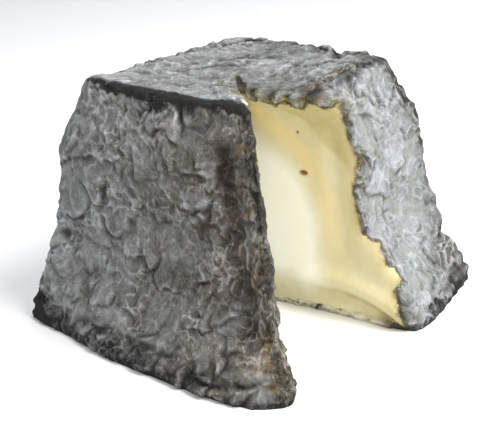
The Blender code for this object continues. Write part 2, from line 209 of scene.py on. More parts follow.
# BROWN_CREASE_SHADE is painted shade, dark brown, laid in the creases and folds of the browner mould.
MUSTY, WARM_TINT, BROWN_CREASE_SHADE = (0.262, 0.272, 0.246), (1.04, 0.94, 0.85), (0.070, 0.038, 0.022)
PASTE_DEEP = 24.0  # how far below the rind the core's colour is reached
PASTE_STOPS = [
    (0.00, (0.480, 0.410, 0.195)),
    (0.20, (0.585, 0.520, 0.305)),
    (0.50, (0.580, 0.532, 0.337)),
    (0.72, (0.655, 0.625, 0.460)),
    (1.00, (0.840, 0.835, 0.763)),
]
AMBER = (0.840, 0.640, 0.268)
MOTTLE = [
    (0.36, (0.018, 0.017, 0.014)),
    (0.45, (0.070, 0.062, 0.046)),
    (0.53, (0.150, 0.138, 0.108)),
    (0.62, (0.270, 0.262, 0.240)),
    (0.74, (0.460, 0.460, 0.440)),
]
CRUST_LOOKS = [
    (0.33, (0.060, 0.056, 0.044)),
    (0.40, (0.250, 0.232, 0.170)),
    (0.47, (0.580, 0.550, 0.410)),
    (0.62, (0.740, 0.710, 0.580)),
]
PASTE_FLECK, HOLE = (0.90, 0.87, 0.74), (0.32, 0.125, 0.012)

# The surface: how rough the rind and the paste are, and how much they shine. How much of the light goes into
# the paste, how far its colours go there, and their depth in mm. The finest bumps' strength, their height in
# mm, and how much of it is left on the paste.
RIND_ROUGH, PASTE_ROUGH, SHINE = 0.92, 0.42, 0.3
GLOW, GLOW_RADIUS, GLOW_DEPTH = 0.35, (1.0, 0.75, 0.35), 2.5
BUMPS, BUMPS_HEIGHT, BUMPS_ON_PASTE = 0.8, 0.25, 0.06

# Light, in metres: (name, place, diameter, watts, colour), where all point, and the even light all round.
LIGHTS = [
    ("key", (0.45, 0.10, 0.50), 0.40, 5.9, (1.0, 0.99, 0.97)),
    ("top", (-0.10, 0.20, 0.70), 0.50, 1.7, (0.95, 0.98, 1.0)),
    ("fill", (0.20, -0.55, 0.60), 0.30, 1.75, (1.0, 0.98, 0.95)),
]
LIGHT_TARGET = (0, 0, 0.03)
WORLD_COLOUR, WORLD_STRENGTH = (0.93, 0.96, 1.0), 0.46
FLOOR_SIZE, FLOOR_COLOUR, FLOOR_ROUGH = 4.0, (0.86, 0.86, 0.86), 0.8


# ---------------------------------------------------------------- small maths


def lerp(a, b, share):
    return a + (b - a) * share


def smooth(low, high, value):
    """0 below low, 1 above high, eased in between."""
    share = np.clip((value - low) / (high - low), 0, 1)
    return share * share * (3 - 2 * share)


def bump(value, centre, span):
    """1 at the centre, and fading to nothing on both sides of it."""
    return np.exp(-(((value - centre) / span) ** 2))


def bump_at(points, place, span):
    """1 at a place, and fading to nothing all round it."""
    return bump(np.linalg.norm(points - place, axis=1), 0, span)


def lumps(points, size, seed=0.0):
    """Smooth noise, about -1 to 1, with lumps about size across. Another seed is another pattern."""
    return np.array([noise.noise(p) for p in (points / size + seed).tolist()])


def drift(points, size, seed=0.0):
    """Three smooth noises at each point, to push it about by."""
    return np.stack([lumps(points, size, seed + 7.3 * axis) for axis in range(3)], axis=1)


def cells(points, size, seed=0.0):
    """Cells about size across: (how far each point is from a wall, and where from its cell's centre)"""
    walls, offsets = [], []
    for place in (points / size + seed).tolist():
        distances, centres = noise.voronoi(place)
        walls.append(distances[1] - distances[0])
        offsets.append(tuple(Vector(place) - centres[0]))
    return np.array(walls), np.array(offsets)


def relaxed(values, edges, share, rounds):
    """Moves each value towards the mean of its neighbours on the mesh, by its share, rounds times."""
    start, end = edges.T
    count = np.bincount(edges.ravel(), minlength=len(values)).astype(float)
    columns = values.reshape(len(values), -1).T.copy()
    for _ in range(rounds):
        for column in columns:
            ahead = np.bincount(start, column[end], len(column))
            behind = np.bincount(end, column[start], len(column))
            column += share * ((ahead + behind) / count - column)
    return columns.T.reshape(values.shape)


# ---------------------------------------------------------------- meshes to and from arrays


def points_of(mesh):
    points = np.empty(len(mesh.vertices) * 3)
    mesh.vertices.foreach_get("co", points)
    return points.reshape(-1, 3)


def normals_of(mesh):
    normals = np.empty(len(mesh.vertices) * 3)
    mesh.vertices.foreach_get("normal", normals)
    return normals.reshape(-1, 3)


def edges_of(mesh):
    edges = np.empty(len(mesh.edges) * 2, dtype=np.int64)
    mesh.edges.foreach_get("vertices", edges)
    return edges.reshape(-1, 2)


def move_points(mesh, points):
    mesh.vertices.foreach_set("co", points.ravel())
    mesh.update()


def keep(mesh, name, values):
    """Stores one number for each point, for the materials to read."""
    mesh.attributes.new(name, "FLOAT", "POINT").data.foreach_set("value", values.astype(np.float32))


def add_modifier(obj, name, kind, **settings):
    modifier = obj.modifiers.new(name, kind)
    for setting, value in settings.items():
        setattr(modifier, setting, value)


def applied(obj, name):
    """A new object with obj's evaluated mesh. obj is removed."""
    graph = bpy.context.evaluated_depsgraph_get()
    mesh = bpy.data.meshes.new_from_object(obj.evaluated_get(graph))
    bpy.data.objects.remove(obj, do_unlink=True)
    made = bpy.data.objects.new(name, mesh)
    bpy.context.scene.collection.objects.link(made)
    return made


# ---------------------------------------------------------------- the form


def cube_with_corners(name, corner_of):
    bpy.ops.mesh.primitive_cube_add(size=2)
    obj = bpy.context.object
    obj.name = name
    for vertex in obj.data.vertices:
        vertex.co = corner_of(*(int(math.copysign(1, c)) for c in vertex.co))
    return obj


def pyramid_corner(x, y, z):
    half, lean = (TOP_SIDE / 2, TOP_LEAN) if z > 0 else (FOOT_SIDE / 2, FOOT_LEAN)
    dx, dy = lean[(x, y)]
    return x * half + dx, y * half + dy, HEIGHT + TOP_RISE[(x, y)] if z > 0 else 0.0


def cutter_corner(x, y, z):
    """The wedge between the two cuts: -X -Y is the knife's axis, +X +Y the far outer corner."""
    shift = NEAR_CUT_SHIFT_AT_TOP if z > 0 else 0.0
    back = shift / (math.tan(FAR_CUT_ANGLE) - math.tan(NEAR_CUT_ANGLE))
    axis = CUT_AXIS + (back, back * math.tan(FAR_CUT_ANGLE))
    far = np.array([math.cos(FAR_CUT_ANGLE), math.sin(FAR_CUT_ANGLE)]) * CUTTER_REACH
    near = np.array([math.cos(NEAR_CUT_ANGLE), math.sin(NEAR_CUT_ANGLE)]) * CUTTER_REACH
    plan = {(-1, -1): axis, (1, 1): axis + far + near, (-1, 1): axis + far, (1, -1): axis + near}[(x, y)]
    return plan[0], plan[1], HEIGHT + CUTTER_OVERHANG if z > 0 else -CUTTER_OVERHANG


def half_width(share):
    """Half the straight pyramid's width, at a share of its height."""
    return lerp(FOOT_SIDE, TOP_SIDE, share) / 2


def side_position(points):
    """(u across X, u across Y, share of the height): -1 and 1 are the flanks."""
    share = np.clip(points[:, 2] / HEIGHT, 0, 1)
    half = half_width(share)
    return points[:, 0] / half, points[:, 1] / half, share


def slump_of_flanks(points):
    """How far the flanks stand out from the straight pyramid, at each point: along X, and along Y."""
    ux, uy, share = side_position(points)
    corner = np.minimum(ux * uy, 1.0) ** 2
    belly = SHOULDER_OUT * bump(share, SHOULDER_AT, SHOULDER_SPAN)
    belly += lerp(-WAIST_IN, -CORNER_WAIST, corner) * bump(share, WAIST_AT, WAIST_SPAN)
    low = np.maximum(0, 1 - share / FOOT_REACH) ** FOOT_EASE
    bow_x = FOOT_BOW * low * np.maximum(0, 1 - uy * uy) ** 1.2
    swell = SWELL_OUT * bump(share, SWELL_AT, SWELL_SPAN) * bump(uy, SWELL_ACROSS, SWELL_SPAN_ACROSS)
    bow_x += np.where(ux > 0, swell, 0)
    even = FOOT_BOW * np.maximum(0, 1 - ux * ux) ** 1.2
    lopsided = FRONT_BOW * smooth(-1.25, 0.2, ux) * np.maximum(0, 1 - ux**8)
    bow_y = low * np.where(uy < 0, lopsided, even)
    return belly + bow_x, belly + bow_y


def slumped(points):
    """Where the straight pyramid's points go as the cheese sags and its foot is pressed square."""
    ux, uy, share = side_position(points)
    out_x, out_y = slump_of_flanks(points)
    rounding = EDGE_ROUND - np.clip(points[:, 2], 0, EDGE_ROUND)
    press = FOOT_PRESS * (EDGE_ROUND - np.sqrt(EDGE_ROUND**2 - rounding**2))
    dish = TOP_SAG * smooth(0.7, 1.0, share) * np.maximum(0, 1 - ux * ux) * np.maximum(0, 1 - uy * uy)
    return points + np.stack([ux * (out_x + press), uy * (out_y + press), -dish], axis=1)


def behind_far_cut(points):
    x, y = points[:, 0] - CUT_AXIS[0], points[:, 1] - CUT_AXIS[1]
    return y * math.cos(FAR_CUT_ANGLE) - x * math.sin(FAR_CUT_ANGLE)


def behind_near_cut(points):
    x = points[:, 0] - CUT_AXIS[0]
    y = points[:, 1] - CUT_AXIS[1] - NEAR_CUT_SHIFT_AT_TOP * points[:, 2] / HEIGHT
    return x * math.sin(NEAR_CUT_ANGLE) - y * math.cos(NEAR_CUT_ANGLE)


def rim_distances(points):
    """How far in from the +X flank, the -Y flank, the top and the foot."""
    ux, uy, share = side_position(points)
    half = half_width(share)
    out_x, out_y = slump_of_flanks(points)
    flank_x, flank_y = (1 - ux) * half + out_x, (1 + uy) * half + out_y
    return flank_x, flank_y, HEIGHT - points[:, 2], points[:, 2]


def drooped(points):
    """Pulls the top of the far cut outwards and down, as the lip hangs."""
    depth = behind_far_cut(points)
    side = bump(points[:, 0], LIP_CENTRE, LIP_SPAN) * smooth(-1.5, 3.0, points[:, 0])
    high = smooth(LIP_FROM, LIP_TO, points[:, 2] / HEIGHT)
    pull = side * high * (1 - smooth(0.0, LIP_DEPTH_OF_PULL, depth)) * (depth > -1.5)
    return points + pull[:, None] * (0, -LIP_OUT, -LIP_DROP)


def swollen_toe(points):
    """Pushes the outer foot of the near cut into the notch."""
    away = np.abs(behind_near_cut(points))
    low = 1 - smooth(0.25 * TOE_HIGH, TOE_HIGH, points[:, 2])
    push = TOE_OUT * low * smooth(TOE_FROM, TOE_TO, points[:, 0]) * (1 - smooth(0.0, 6.0, away))
    push *= points[:, 1] < -0.5 * points[:, 0]
    return points + push[:, None] * (-math.sin(NEAR_CUT_ANGLE), math.cos(NEAR_CUT_ANGLE), 0.0)


def rounded_rims(points, edges):
    """Rounds the far cut's outer rims broadly, the near cut's slightly and the notch's inside not at all."""
    flank_x, flank_y, top, foot = rim_distances(points)
    far, near = np.abs(behind_far_cut(points)), np.abs(behind_near_cut(points))
    outside = smooth(3.0, 8.0, points[:, 0])
    soft = bump(np.hypot(far, np.minimum(flank_x, 1.3 * top)), 0, SOFT_RIM) * outside
    points = relaxed(points, edges, 0.6 * soft, SOFT_ROUNDS)
    crisp = bump(np.hypot(near, np.minimum(np.minimum(flank_x, flank_y), top)), 0, CRISP_RIM)
    low_rim = bump(np.hypot(np.minimum(far, near), foot), 0, CRISP_RIM)
    crisp = np.maximum(crisp, low_rim) * outside
    return relaxed(points, edges, 0.6 * crisp, CRISP_ROUNDS)


def cheese_form():
    """The slumped pyramid with one eighth cut out, its rims rounded, on an even fine grid."""
    block = cube_with_corners("block", pyramid_corner)
    add_modifier(block, "rounded edges", "BEVEL", width=EDGE_ROUND, segments=3)
    add_modifier(block, "grid", "REMESH", mode="VOXEL", voxel_size=SLUMP_GRID)
    slump = applied(block, "slump")
    move_points(slump.data, slumped(points_of(slump.data)))

    wedge = cube_with_corners("wedge", cutter_corner)
    add_modifier(slump, "cut eighth", "BOOLEAN", operation="DIFFERENCE", object=wedge)
    add_modifier(slump, "form grid", "REMESH", mode="VOXEL", voxel_size=FORM_GRID)
    form = applied(slump, "form")
    bpy.data.objects.remove(wedge, do_unlink=True)
    move_points(form.data, rounded_rims(points_of(form.data), edges_of(form.data)))

    add_modifier(form, "skin grid", "REMESH", mode="VOXEL", voxel_size=SKIN_GRID)
    skin = applied(form, "skin")
    move_points(skin.data, relaxed(points_of(skin.data), edges_of(skin.data), 0.5, 4))
    return skin


# ---------------------------------------------------------------- where the rind ends and what it looks like


def far_depths(x, z, foot, side_hem):
    """How far below the rind the far cut's paste looks: most in its core, less in the trough by the foot as
    painted shade, more along a streak that is partly painted light.
    """
    core = CORE_DEPTH + CORE_DEEPENS * (CORE_TOP - CORE_FALL * x - z)
    core_side = CORE_SIDE_DEPTH - CORE_SIDE_FALL * (x - CORE_SIDE_X)
    core = np.minimum(core, np.clip(core_side, CORE_SIDE_LEAST, CORE_SIDE_MOST))
    core = np.minimum(core, FOOT_DEPTH + ABOVE_FOOT * foot)
    below = np.minimum(np.minimum(INSIDE_SIDE_HEM * (side_hem - x), UNDER_LIP_HEM * (LIP_HEM_AT - z)), core)
    trough_shade = TROUGH_SHADE_BY * bump(z, bulge_height(x) - TROUGH_SHADE_UNDER, TROUGH_SHADE_WIDE)
    below -= trough_shade * smooth(*TROUGH_SHADE_BEGINS, x)
    streak = x - np.interp(z, *zip(*AMBER_BAND)) - STREAK_BESIDE
    # Beside the amber band runs a paler streak; towards the top it is made paler and wider, as painted light
    # where the lip shades the paste.
    high = smooth(36, 46, z)
    return below + lerp(6.0, 10.0, high) * bump(streak, 0, lerp(1.8, 4.5, high)) * smooth(27, 33, z)


def paste_depths(points):
    """(distance into bared paste, negative on rind; distance below the rind around it)"""
    flank_x, flank_y, top, foot = rim_distances(points)
    flank = np.minimum(flank_x, flank_y)
    far, near = np.abs(behind_far_cut(points)), np.abs(behind_near_cut(points))
    on_far = far < near
    x, z = points[:, 0], points[:, 2]
    ragged = 0.7 * lumps(points, 3.6, 3.1) + 0.5 * lumps(points, 1.5, 7.7)

    side_hem = np.interp(z, *zip(*SIDE_HEM))
    side = np.minimum(side_hem - x + 0.6 * ragged, TORN_BEHIND - behind_far_cut(points) + ragged)
    scallops = LIP_SCALLOP * np.cos(2 * math.pi * (x - LIP_SCALLOP_CREST) / LIP_SCALLOP_PITCH)
    inside_far = np.minimum(side, LIP_HEM_AT + scallops - z + ragged)
    inside_far = np.minimum(inside_far, foot - CRUST + 0.7 * ragged)
    near_hem = NEAR_HEM + NEAR_HEM_AT_TOE * (1 - smooth(4.0, 20.0, z)) + 0.4 * ragged
    level_hem = np.minimum(top - NEAR_TOP_HEM, foot - CRUST) + 0.4 * ragged
    inside = np.where(on_far, inside_far, np.minimum(flank - near_hem, level_hem))

    starts_at = lerp(-2.0, 3.0, smooth(50.5, 53.0, z))
    by_cut = (np.minimum(far, near) < BY_CUT) & (x > starts_at)
    inside = np.where(by_cut, inside, DEEP_IN_RIND)
    below = np.where(on_far, far_depths(x, z, foot, side_hem), np.minimum(flank, 1.3 * top))
    smear = SMEAR_RADIUS - np.linalg.norm(points - SMEAR, axis=1) + ragged
    return np.maximum(inside, smear), np.where(smear > -0.5, SMEAR_PALE * PASTE_DEEP, below)


def edge_distance(points):
    """How far a point of the outside is from the nearest edge of the pyramid."""
    ux, uy, share = side_position(points)
    half = half_width(share)
    faces = np.stack([(1 - ux) * half, (1 + ux) * half, (1 - uy) * half, (1 + uy) * half,
                      HEIGHT - points[:, 2], points[:, 2]])
    return np.sort(np.maximum(faces, 0), axis=0)[1]


def away_from(points, start, end):
    """Distance from the straight line between two places."""
    a, b = np.array(start), np.array(end)
    along = np.clip((points - a) @ (b - a) / ((b - a) @ (b - a)), 0, 1)
    return np.linalg.norm(points - (a + along[:, None] * (b - a)), axis=1)


def fold_relief(points):
    """(depth of the single folds, as a negative height; how deep in one each point is, 0 to 1, which is also
    laid on as painted shade)
    """
    height, deep = np.zeros(len(points)), np.zeros(len(points))
    wobble = 0.8 * lumps(points, 5.0, 1.3)
    for start, end, depth, wide in FOLDS:
        share = bump(away_from(points, start, end) + wobble, 0, wide)
        height -= depth * share
        deep = np.maximum(deep, share)
    return height, deep


def lobes(points, size, seed, lean, round_to):
    """Pillowy lobes that overlap like shingles: (height, painted shade under a lobe's thick side)."""
    wall, offset = cells(points, size, seed)
    lift = np.clip(0.55 - (offset * lean).sum(1), 0, 1.4)
    return lift * smooth(0.0, round_to, wall), smooth(0.5, 1.0, lift) * (1 - smooth(0.0, 0.16, wall))


def terraces(phase, fall):
    """Rises slowly from 0 to 1 along each turn of phase, and drops over its last share."""
    part = phase - np.floor(phase)
    return np.minimum(part / (1 - fall), (1 - part) / fall)


def rind_relief(points, normals, pale):
    """(height of the rind over the smooth form, painted shade under lobes' thick sides, how high on a ridge)
    """
    warp = sum(how_far * drift(points, size, seed) for how_far, size, seed in WARP)
    flat = np.abs(normals[:, 2:])
    calm = 1 - 0.45 * pale - 0.2 * flat[:, 0]

    # Large lobes, lower in places.
    held = smooth(-0.35, 0.3, lumps(points, 9.0, 4.4))
    lean = lerp(LEAN_DOWN, LEAN_TOP, flat)
    lobe, under = lobes((points + warp) * (1, 1, 0.85), LOBE_SIZE, 0.0, lean, 0.26)
    height = LOBE_HEIGHT * calm * lobe * (0.35 + 0.65 * held)
    crease_shade = (0.3 + 0.7 * held) * under

    # Small lobes, missing in places.
    held_small = smooth(-0.3, 0.3, lumps(points, 7.0, 1.4))
    lean = lerp(LEAN_SMALL, LEAN_TOP, flat)
    lobe, under = lobes((points + 1.2 * warp) * (1, 1, 0.9), SMALL_LOBE_SIZE, 3.3, lean, 0.32)
    height += SMALL_LOBE_HEIGHT * calm * lobe * held_small
    crease_shade = np.maximum(crease_shade, 0.7 * held_small * under)

    # Terraces, least on the lobes and on pale mould.
    flow = TERRACE_BEND * lumps(points + warp, TERRACE_SIZE, 1.7) + points @ TERRACE_RUN
    height += TERRACE_HEIGHT * terraces(flow, 0.12) * (1 - 0.6 * held) * (1 - 0.6 * pale)

    # Veins, in places, and worm-like wrinkles, most on pale mould.
    wall, _ = cells(points + 1.2 * warp, VEIN_CELL, 8.8)
    vein = smooth(-0.15, 0.35, lumps(points, 10.0, 6.1)) * (1 - smooth(0.02, VEIN_WIDTH, wall))
    worm = smooth(0, 1, 1 - np.abs(lumps(points + 0.5 * warp, WORM_SIZE, 9.3)) / WORM_WIDTH)
    height += lerp(VEIN_HEIGHT, 0.5 * VEIN_HEIGHT, pale) * vein
    height += lerp(0.2, 0.6, pale) * WORM_HEIGHT * worm

    # Pleats by the foot, slow waves and grain.
    pleats = terraces((points[:, 2] + 2.0 * lumps(points, 12.0, 5.2)) / PLEAT_PITCH, 0.3)
    height += PLEAT_HEIGHT * pleats * (1 - smooth(*PLEATS_END, points[:, 2])) * (1 - pale)
    height += WAVE_HEIGHT * lumps(points, WAVE_SIZE, 0.2)
    height += GRAIN_HEIGHT * (lumps(points, GRAIN_SIZE, 3.3) + 0.6 * lumps(points, FINE_GRAIN_SIZE, 5.9))
    return height - RIND_MEAN, crease_shade, np.maximum(vein, lerp(0.3, 1.0, pale) * worm)


def bulge_height(x):
    """Where the bulge along the far cut's foot stands highest."""
    return BULGE_Z - BULGE_CURL * (x - BULGE_X) ** 2


def in_holes(points):
    """For each gas hole: its depth, and how far each point is into it, 0 to 1."""
    x, z = points[:, 0], points[:, 2]
    for hole_x, hole_z, width, high, depth in HOLES:
        yield depth, np.exp(-(((x - hole_x) / width) ** 2 + ((z - hole_z) / high) ** 2) ** 2)


def paste_relief(points, on_far):
    """The knife's soft waves, and on the far cut an upright groove and a bulge that curls along the foot."""
    x, z = points[:, 0], points[:, 2]
    groove_at = GROOVE_X - GROOVE_LEAN * (z - GROOVE_Z)
    begun, not_ended = smooth(*GROOVE_BEGINS, z), 1 - smooth(*GROOVE_ENDS, z)
    height = -GROOVE_DEPTH * bump(x, groove_at, GROOVE_WIDE) * begun * not_ended
    height += BESIDE_HEIGHT * bump(x, groove_at - BESIDE_GROOVE, BESIDE_WIDE) * begun * not_ended
    height += BULGE_THICK * bump(z, bulge_height(x), BULGE_WIDE) * smooth(*BULGE_BEGINS, x)
    trough_at = bulge_height(x) - TROUGH_UNDER
    height -= TROUGH_DEPTH * bump(z, trough_at, TROUGH_WIDE) * smooth(*TROUGH_BEGINS, x)
    for depth, share in in_holes(points):
        height -= depth * share
    return on_far * height + 0.25 * lumps(points, 11.0, 6.6)


def lip_folds(points):
    """Hanging folds of the lip over the far cut: (1 on a fold's crest, 1 where the lip hangs)"""
    hanging = bump(behind_far_cut(points), 0, 3.0) * smooth(2.0, 6.0, points[:, 0])
    hanging *= smooth(*LIP_FOLDS_BEGIN, points[:, 2]) * (1 - smooth(*LIP_FOLDS_END, points[:, 2]))
    wave = np.cos(2 * math.pi * (points[:, 0] + 1.2 * lumps(points, 4.0, 2.9)) / LIP_FOLD_PITCH)
    return hanging * (0.5 + 0.5 * wave), hanging


def pushed_out(points, normals, height):
    """The points moved out along their normals by height, but with a flat foot."""
    foot = smooth(0.0, FLAT_FOOT, points[:, 2])
    moved = points + normals * (height * foot)[:, None]
    under = (moved[:, 2] < FLAT_FOOT) & (normals[:, 2] < -0.5)
    moved[under, 2] = 0.0
    moved[:, 2] = np.maximum(moved[:, 2], 0.0)
    return moved


def dressed(skin):
    """Gives the skin its relief, and the numbers that its materials read."""
    mesh = skin.data
    edges = edges_of(mesh)
    base = points_of(mesh)
    inside, below = paste_depths(base)
    bared = smooth(-0.12, 0.2, inside)
    on_far = smooth(-1.0, 1.0, np.abs(behind_near_cut(base)) - np.abs(behind_far_cut(base)))
    fold_crest, hanging = lip_folds(base)

    move_points(mesh, swollen_toe(drooped(base)))
    points = points_of(mesh)
    normals = relaxed(normals_of(mesh), edges, 0.5, 6)
    normals /= np.linalg.norm(normals, axis=1)[:, None]
    crust, near = crust_share(base), near_rim(base, normals)
    pale = pale_share(points, normals, base, crust, near)

    height, crease_shade, ridge = rind_relief(points, normals, pale)
    folds, in_fold = fold_relief(points)
    height += folds + LIP_FOLD_HEIGHT * (fold_crest - 0.5 * hanging)
    height += RIND_PROUD * bump(inside, -0.8, 1.2)
    height = lerp(height, paste_relief(points, on_far), bared)

    numbers = {
        "inside": np.clip(inside, -4, 4),
        "below": below,
        # painted shade under the lobes' thick sides and in the single folds
        "crease_shade": np.maximum(crease_shade, 0.6 * in_fold),
        "ridge": ridge,
        # swell: painted light on crests and painted shade in hollows, from how far the relief stands above
        # its smoothed self
        "swell": height - relaxed(height, edges, 0.5, 24),
        "pale": pale,
        "ash": ash_and_pocket_shade(points, normals, edge_distance(base)) * (1 - 0.7 * crust),
        "stain": stain_share(points, normals, base),
        "warm": warm_share(points, normals),
        "mottle": mottle_share(points, near),
        "crust": crust,
        "amber": amber_share(points) * on_far,
        "moss": hanging * (1 - smooth(1.0, 4.0, -inside)),
        "hole": np.max([share for _, share in in_holes(points)], axis=0) * bared,
    }
    for name, values in numbers.items():
        keep(mesh, name, values)
    move_points(mesh, pushed_out(points, normals, height))
    return skin


def crust_share(base):
    """The pale crust along the foot of the far cut."""
    low = 1 - smooth(*CRUST_TOP, base[:, 2])
    crust = bump(behind_far_cut(base), 0, 2.5) * (base[:, 0] > 0) * low
    return crust * (1 - smooth(*CRUST_OUTER_END, base[:, 0]))


def pale_share(points, normals, base, crust, near):
    """How pale the mould is by the way it faces, more on the crust, less where worn and by the near cut."""
    out = np.maximum(normals, 0) ** 2
    back = np.maximum(-normals, 0) ** 2
    pale = out @ PALE_OUT + back @ PALE_BACK
    front_left = np.maximum(-normals[:, 1], 0) * smooth(15.0, -30.0, points[:, 0])
    belly = 0.62 * out[:, 0] * (bump(points[:, 2], 22, 17) - 0.5)
    patches = 0.16 * lumps(points, 14.0, 2.4) + 0.6 * crust
    pale += belly + 0.34 * front_left + patches * (1 - pale) - 1.2 * worn_corner(base)
    behind_brow = 0.30 * out[:, 2] * bump(points[:, 1], -21, 5) * smooth(-12, 4, points[:, 0])
    pale += behind_brow
    return np.clip(pale - 0.8 * near, 0, 1)


def worn_corner(points):
    """Where the mould has worn thin on the +X flank: along its +Y edge, more widely towards the foot."""
    ux, uy, share = side_position(points)
    from_edge = (1 - uy) * half_width(share) + 2.0 * lumps(points, 5.0, 3.6)
    width = lerp(24.0, 7.0, smooth(0.1, 0.5, share))
    return (1 - smooth(0.0, width, from_edge)) * smooth(0.1, 0.9, ux)


def ash_on_edges(points, normals, on_top, from_edge):
    """Ash along the pyramid's edges, less on top, on the +X flank and on the -X flank's upright edges."""
    ux, uy, _ = side_position(points)
    behind = np.maximum(smooth(-10, 20, points[:, 1]), smooth(8, 18, -points[:, 0]))
    band = 1 - smooth(0.8, 2.8, from_edge)
    band *= (1 - on_top * lerp(0.95, 0.35, behind)) * lerp(1.0, 0.75, np.maximum(normals[:, 0], 0) ** 2)
    upright = smooth(0.6, 0.95, -ux) * smooth(0.6, 0.95, np.abs(uy))
    return band * (1 - np.where(uy < 0, 0.7, 0.4) * upright)


def ash_on_brow(points, on_top, front, torn):
    """Ash over the brow of the front flank, reaching down farthest in its middle."""
    drop = HEIGHT - points[:, 2]
    reach = lerp(1.2, 5.0, smooth(-24.0, 4.0, points[:, 0])) - 2.2 * smooth(8.0, 20.0, points[:, 0])
    brow = front * (1 - smooth(0.4 * reach, reach, drop + 1.2 * torn))
    return brow + 0.6 * front * (1 - smooth(0.8, 2.4, drop + 0.5 * torn)) * (1 - on_top)


def ash_and_pocket_shade(points, normals, rim):
    """Bare ash, where the mould is rubbed off: along the edges, over the front's brow and at the foot; and
    painted shade in the lip's pocket.
    """
    _, uy, share = side_position(points)
    torn = 1.4 * lumps(points, 4.0, 1.1) + 0.9 * lumps(points, 1.3, 6.3)
    on_top = np.maximum(normals[:, 2], 0) ** 2
    front = 1 - smooth(0.6, 2.2, (1 + uy) * half_width(share) + 0.4 * torn)
    low = 1.1 - 1.1 * smooth(1.0, lerp(3.5, 9.0, front), points[:, 2] + 2.2 * torn)
    low *= 1 - 0.5 * front * smooth(18.0, 30.0, points[:, 0])
    edges = 1.15 * ash_on_edges(points, normals, on_top, rim + 0.8 * torn)
    brow = 1.25 * ash_on_brow(points, on_top, front, torn)
    # The lip's pocket is blackened as painted shade.
    corner, pocket = bump_at(points, LEFT_FOOT_CORNER, 7.0), 1.7 * bump_at(points, LIP_POCKET, 2.0)
    return np.clip(np.maximum(np.maximum(edges, brow), low) + corner + pocket, 0, 1.6)


def stain_share(points, normals, base):
    """Ochre stains: beside the near cut, on its top rim and at its toe, and where the lip is creased."""
    beside = bump(behind_near_cut(base), 0, 6.0) * np.maximum(-normals[:, 1], 0)
    spotted = smooth(0.0, 0.4, lumps(points, 3.0, 4.8))
    pocket, browned = bump_at(points, LIP_POCKET, 2.8), bump_at(points, BROWNED, 2.4)
    toe = bump_at(points, OCHRE_TOE, 5.5) * (0.45 + 0.55 * spotted)
    return np.clip(1.1 * beside * spotted + pocket + browned + toe, 0, 1)


def near_rim(base, normals):
    """The strip of rind beside the near cut, except on top."""
    beside = (1 - smooth(1.6, 5.2, np.abs(behind_near_cut(base)))) * (1 - smooth(0.35, 0.75, normals[:, 2]))
    return beside * (behind_far_cut(base) < -2)


def mottle_share(points, near):
    """Where the rind is cracked and mottled: on the near cut's rim, and where the lip tears."""
    tear = np.minimum(away_from(points, *LIP_TEAR[:2]), away_from(points, *LIP_TEAR[1:]))
    return np.clip(near + 1.1 * bump(tear + 0.8 * lumps(points, 2.0, 5.1), 0, 1.5), 0, 1)


def amber_share(points):
    """The yellower band that crosses the far cut's paste, from the top of the axis to the +X flank."""
    x, z = points[:, 0], points[:, 2]
    place, wide = np.interp(z, *zip(*AMBER_BAND)), lerp(2.6, 5.0, smooth(34, 47, z))
    return bump(x, place, wide) * smooth(5, 24, z) * lerp(0.65, 1.0, smooth(30, 42, z))


def warm_share(points, normals):
    """Browner mould, on the front flank towards the near cut."""
    front = np.maximum(-normals[:, 1], 0) * smooth(-22.0, 22.0, points[:, 0])
    return np.clip(front * (behind_far_cut(points) < -8) + 0.12, 0, 1)


def thinned(skin):
    """The skin with fewer triangles, under the piece's own name."""
    full = sum(len(p.vertices) - 2 for p in skin.data.polygons)
    add_modifier(skin, "fewer triangles", "DECIMATE", ratio=TRIANGLES / full)
    return applied(skin, "rind_and_paste")


# ---------------------------------------------------------------- materials


def add_node(tree, kind, inputs=None, **settings):
    """A shader node. An input given as a socket is linked, and any other is set."""
    node = tree.nodes.new(kind)
    for setting, value in settings.items():
        setattr(node, setting, value)
    for name, value in (inputs or {}).items():
        if isinstance(value, bpy.types.NodeSocket):
            tree.links.new(value, node.inputs[name])
        else:
            node.inputs[name].default_value = value
    return node


def number(tree, name):
    """A number kept on the mesh's points."""
    return add_node(tree, "ShaderNodeAttribute", attribute_name=name).outputs["Fac"]


def speckle(tree, size, detail=2.0, roughness=0.5, distortion=0.0, upright=1.0):
    """Noise around 0.5 with grains about size millimetres across, and upright times as tall."""
    place = add_node(tree, "ShaderNodeTexCoord").outputs["Object"]
    if upright != 1.0:
        stretch = {0: place, 1: (1, 1, 1 / upright)}
        place = add_node(tree, "ShaderNodeVectorMath", stretch, operation="MULTIPLY").outputs["Vector"]
    inputs = {"Vector": place, "Scale": 1 / (size * MM), "Detail": detail, "Roughness": roughness}
    return add_node(tree, "ShaderNodeTexNoise", {**inputs, "Distortion": distortion}).outputs["Fac"]


def threads(tree, size, levels, width):
    """Thin wiggling lines, where a smooth noise passes each of its levels: 1 on a line, 0 between."""
    phase = times(tree, speckle(tree, size, 1.5, 0.5, 1.6), levels)
    return mapped(tree, math_node(tree, "PINGPONG", phase, 0.5), width, 0.0)


def mapped(tree, value, low, high, to_low=0.0, to_high=1.0):
    """Takes a value from between low and high to between to_low and to_high, and no farther."""
    inputs = {"Value": value, "From Min": low, "From Max": high, "To Min": to_low, "To Max": to_high}
    return add_node(tree, "ShaderNodeMapRange", inputs).outputs["Result"]


def math_node(tree, operation, a, b, clamp=False):
    return add_node(tree, "ShaderNodeMath", {0: a, 1: b}, operation=operation, use_clamp=clamp).outputs[0]


def times(tree, a, b):
    return math_node(tree, "MULTIPLY", a, b)


